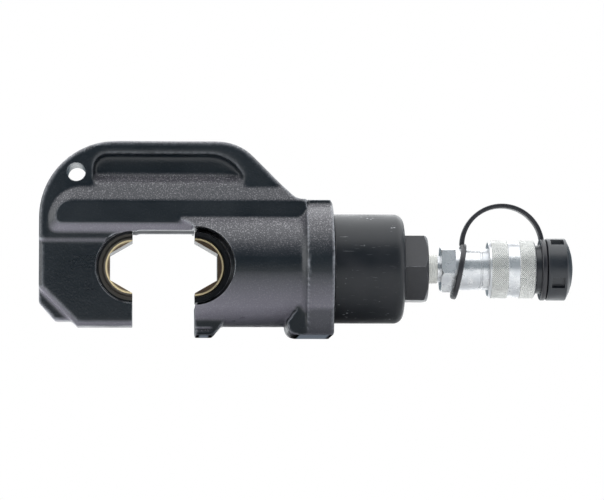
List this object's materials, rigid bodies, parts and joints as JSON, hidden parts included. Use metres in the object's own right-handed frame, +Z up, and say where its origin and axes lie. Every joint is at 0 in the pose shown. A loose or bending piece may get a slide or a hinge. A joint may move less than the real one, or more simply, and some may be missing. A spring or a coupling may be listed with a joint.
{
  "type": "hydraulic crimping head",
  "caption": "Hydraulic C-head compression tool: forged jaw, sliding ram with half-round hexagon dies, return spring, quick coupler with knurled sleeve and tethered dust cap.",
  "frame": {"origin": "middle of the tool's length and depth, on the plane its foot and collar pad stand on", "axes": "+X along the ram axis from the jaw to the coupler, +Y from the front side to the back, +Z up"},
  "size_m": [0.3308, 0.082, 0.12],
  "materials": {
    "forged_paint": "black textured paint on a forging",
    "blacked_steel": "smooth satin black, scratched",
    "blued_steel": "black oxide",
    "ground_steel": "ground",
    "spring_steel": "oiled spring wire",
    "zinc_plate": "bright zinc plate",
    "die_bronze": "machined bronze",
    "bush_bronze": "sintered bronze",
    "seal_rubber": "matte nitrile",
    "seal_plastic": "hard polyurethane",
    "ptfe_tape": "wound white tape",
    "cap_plastic": "moulded, semi-matte",
    "strap_rubber": "moulded, semi-matte"
  },
  "bodies": {
    "tool": {"head_casting": "forged_paint", "ram_wiper": "seal_plastic", "ram_guide_bush": "bush_bronze", "ram_guide_pin": "ground_steel", "anvil_detent_ball": "ground_steel", "anvil_detent_spring": "spring_steel", "anvil_detent_screw": "blued_steel", "cylinder_barrel": "blacked_steel", "cylinder_oring": "seal_rubber", "cylinder_lock_screw": "blued_steel", "end_adapter": "blued_steel", "adapter_seal": "seal_rubber", "spring_anchor": "ground_steel", "return_spring": "spring_steel", "thread_tape": "ptfe_tape", "coupler_body": "zinc_plate", "coupler_snap_ring": "spring_steel", "coupler_seal": "seal_rubber", "poppet_spring": "spring_steel", "strap_loop": "strap_rubber", "strap_band": "strap_rubber"},
    "ram": {"ram": "ground_steel", "piston_seal": "seal_plastic", "piston_backup_ring": "ptfe_tape", "piston_wear_ring": "bush_bronze", "ram_detent_ball": "ground_steel", "ram_detent_spring": "spring_steel", "ram_detent_screw": "blued_steel", "spring_pin": "ground_steel"},
    "anvil_die": {"anvil_die": "die_bronze"},
    "ram_die": {"ram_die": "die_bronze"},
    "sleeve": {"knurled_sleeve": "zinc_plate"},
    "poppet": {"coupler_poppet": "ground_steel"},
    "cap_ring": {"strap_cap_loop": "strap_rubber"},
    "cap": {"dust_cap": "cap_plastic", "cap_oring": "seal_rubber"}
  },
  "joints": [
    {"name": "ram_stroke", "type": "slide", "parent": "tool", "child": "ram", "axis": [-1, 0, 0], "range_m": [0, 0.038], "stiffness_N_per_m": 1500, "springref_m": -0.03, "deforming": ["return_spring"]},
    {"name": "anvil_die_out", "type": "slide", "parent": "tool", "child": "anvil_die", "axis": [0, -1, 0], "range_m": [0, 0.03]},
    {"name": "ram_die_out", "type": "slide", "parent": "ram", "child": "ram_die", "axis": [0, -1, 0], "range_m": [0, 0.03]},
    {"name": "sleeve_turn", "type": "hinge", "parent": "tool", "child": "sleeve", "pos_m": [0.127, 0, 0.0423], "axis": [1, 0, 0], "continuous": true},
    {"name": "poppet_open", "type": "slide", "parent": "tool", "child": "poppet", "axis": [-1, 0, 0], "range_m": [0, 0.0035], "stiffness_N_per_m": 900, "springref_m": -0.004, "deforming": ["poppet_spring"]},
    {"name": "cap_out", "type": "slide", "parent": "tool", "child": "cap_ring", "axis": [1, 0, 0], "range_m": [0, 0.012], "deforming": ["strap_band"]},
    {"name": "cap_unscrew", "type": "hinge", "parent": "cap_ring", "child": "cap", "pos_m": [0.15, 0, 0.0423], "axis": [1, 0, 0], "range_deg": [-1080, 0]}
  ],
  "couplings": [
    {"joint": "cap_unscrew", "follows": "cap_out", "rad_per_m": -1570.8}
  ]
}
